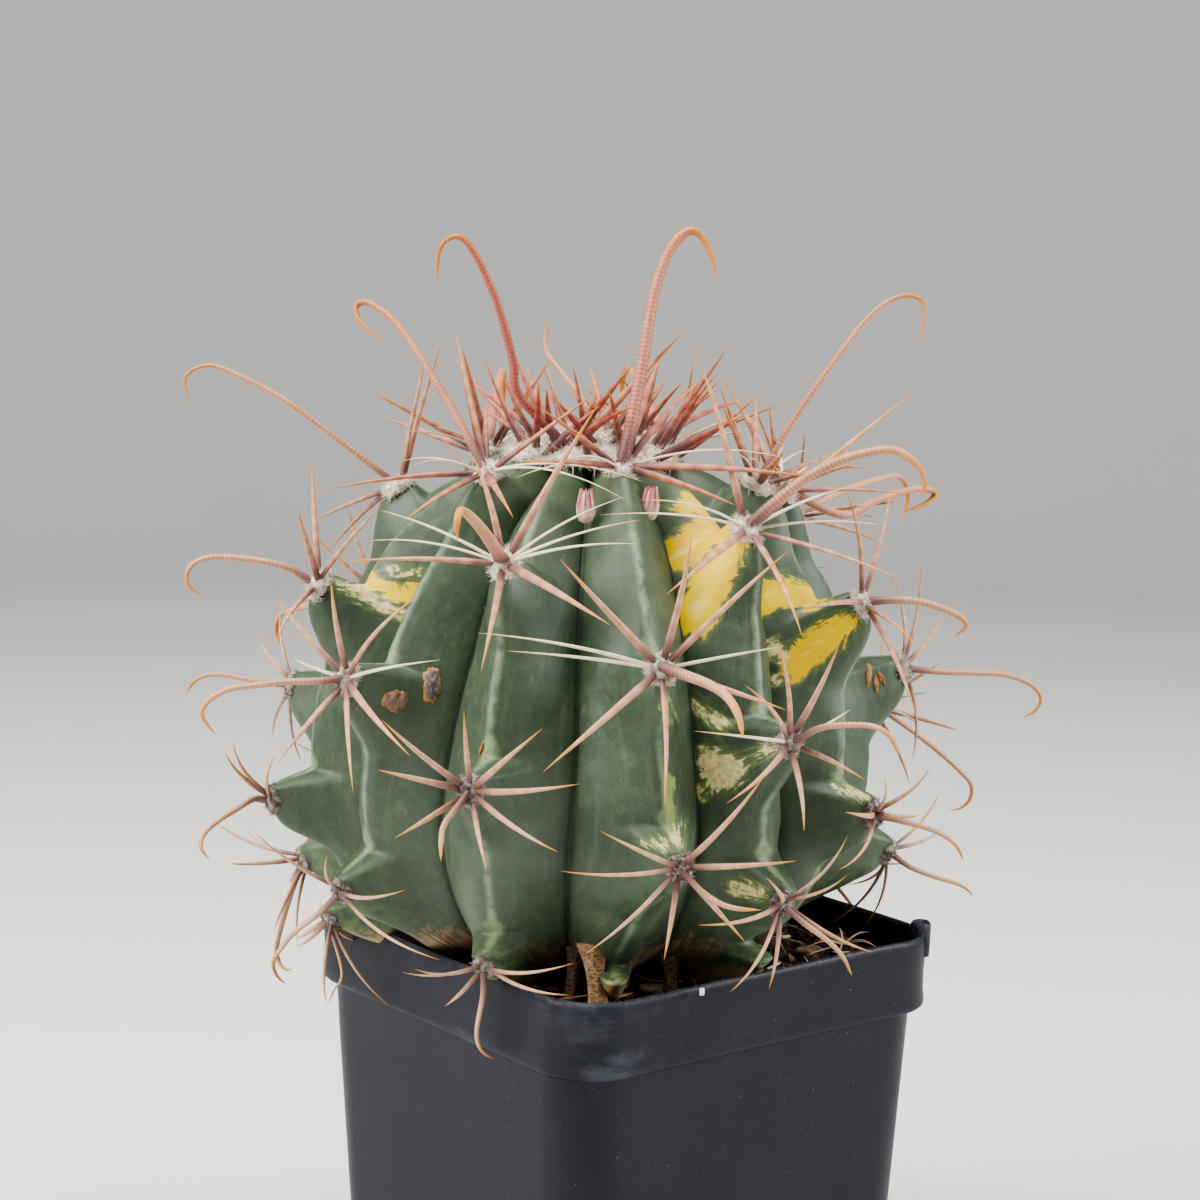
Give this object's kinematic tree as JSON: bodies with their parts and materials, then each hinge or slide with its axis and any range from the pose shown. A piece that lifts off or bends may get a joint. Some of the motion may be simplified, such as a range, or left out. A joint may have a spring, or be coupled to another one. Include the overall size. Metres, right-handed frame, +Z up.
{
  "type": "potted barrel cactus",
  "caption": "Ribbed barrel cactus with hooked spines and yellow variegation, growing in a square plastic nursery pot.",
  "frame": {"origin": "centre of the pot's flat underside", "axes": "+Z up; the pot's sides lie along X and Y; the plant's front is between -X and -Y"},
  "size_m": [0.1878, 0.1891, 0.2436],
  "materials": {
    "pot_plastic": "scuffed satin",
    "soil": "loose and dry",
    "skin": "waxy satin with yellow variegation",
    "spine": "ringed satin",
    "young_spine": "satin, in pale wool",
    "dry_flower": "dry and papery",
    "bark": "dry"
  },
  "bodies": {
    "root": {"bark_chip_1": "bark", "bark_chip_2": "bark", "bark_chip_3": "bark", "bark_chip_4": "bark", "cactus_body": "skin", "crown_spines": "young_spine", "flower_remains_left": "dry_flower", "flower_remains_right": "dry_flower", "nursery_pot": "pot_plastic", "potting_soil": "soil", "spine_cluster_a1": "spine", "spine_cluster_a2": "spine", "spine_cluster_a3": "spine", "spine_cluster_b1": "spine", "spine_cluster_b2": "spine", "spine_cluster_b3": "spine", "spine_cluster_c1": "spine", "spine_cluster_c2": "spine", "spine_cluster_c3": "spine", "spine_cluster_d1": "spine", "spine_cluster_d2": "spine", "spine_cluster_d3": "spine", "spine_cluster_e1": "spine", "spine_cluster_e2": "spine", "spine_cluster_e3": "spine", "spine_cluster_f1": "spine", "spine_cluster_f2": "spine", "spine_cluster_f3": "spine", "spine_cluster_g1": "spine", "spine_cluster_g2": "spine", "spine_cluster_g3": "spine", "spine_cluster_h1": "spine", "spine_cluster_h2": "spine", "spine_cluster_h3": "spine", "spine_cluster_i1": "spine", "spine_cluster_i2": "spine", "spine_cluster_i3": "spine", "spine_cluster_j1": "spine", "spine_cluster_j2": "spine", "spine_cluster_j3": "spine", "spine_cluster_k1": "spine", "spine_cluster_k2": "spine", "spine_cluster_k3": "spine", "spine_cluster_l1": "spine", "spine_cluster_l2": "spine", "spine_cluster_l3": "spine", "spine_cluster_m1": "spine", "spine_cluster_m2": "spine", "spine_cluster_m3": "spine"}
  },
  "joints": []
}
